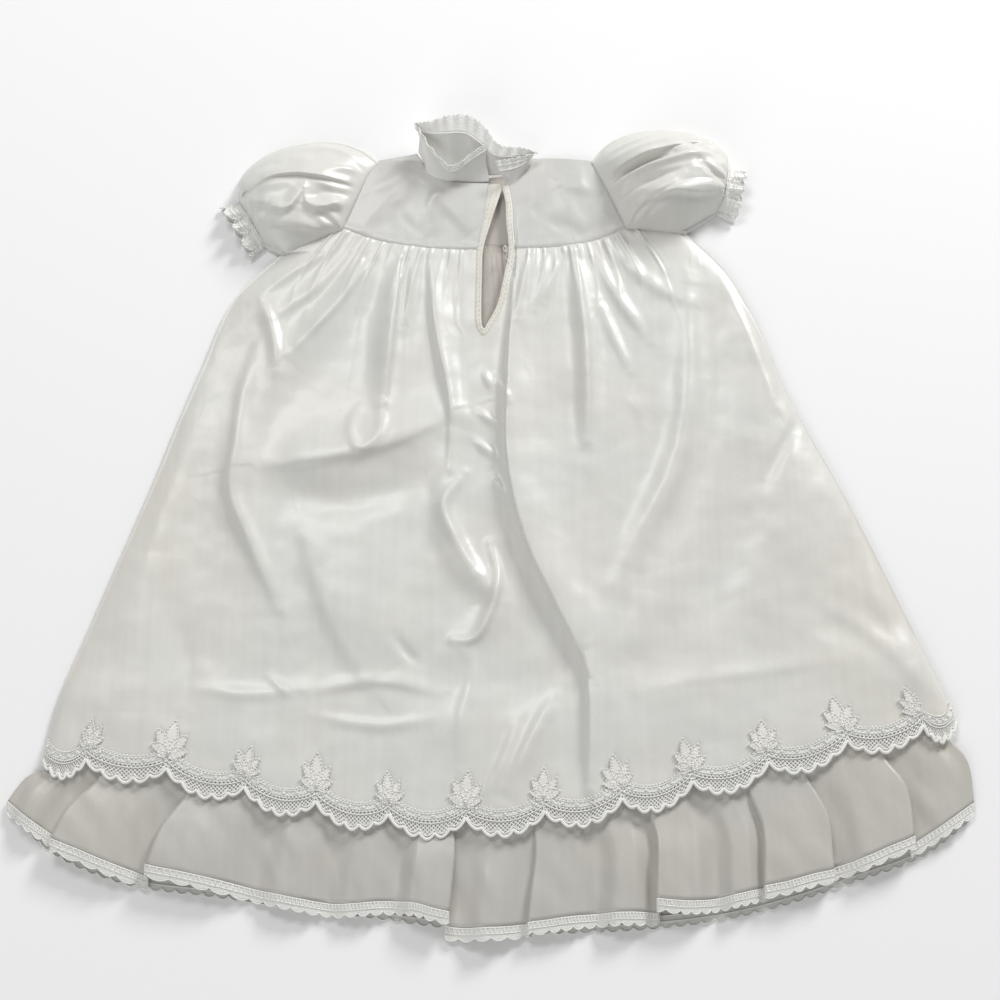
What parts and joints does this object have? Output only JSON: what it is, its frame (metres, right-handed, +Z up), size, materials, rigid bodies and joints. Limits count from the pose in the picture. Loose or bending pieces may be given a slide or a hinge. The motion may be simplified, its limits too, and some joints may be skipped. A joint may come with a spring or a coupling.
{
  "type": "christening_gown",
  "caption": "White satin christening gown laid flat with its back up: gathered skirt, puff sleeves, stand collar, lace edgings and a ruffle tier",
  "frame": {"origin": "On the surface that the gown lies on, under the middle of its outline", "axes": "X across the gown from its left side in the picture to its right, Y up the gown from the hem to the neck, Z up from the surface"},
  "size_m": [0.6286, 0.5802, 0.035],
  "materials": {
    "satin": "pearl white polyester satin, soft broad sheen",
    "lace": "matt white scalloped lace with corded edges",
    "binding": "cream satin facing round the back opening"
  },
  "bodies": {
    "root": {"front_yoke": "satin", "back_yoke_left": "satin", "back_yoke_right": "satin", "front_skirt": "satin", "back_skirt": "satin", "ruffle_front": "satin", "ruffle_back": "satin", "sleeve_left": "satin", "sleeve_right": "satin", "collar_band": "satin", "collar_lace": "lace", "cuff_lace_left": "lace", "cuff_lace_right": "lace", "skirt_lace_front": "lace", "skirt_lace_back": "lace", "ruffle_edging_front": "lace", "ruffle_edging_back": "lace", "placket_binding": "binding"}
  },
  "joints": []
}
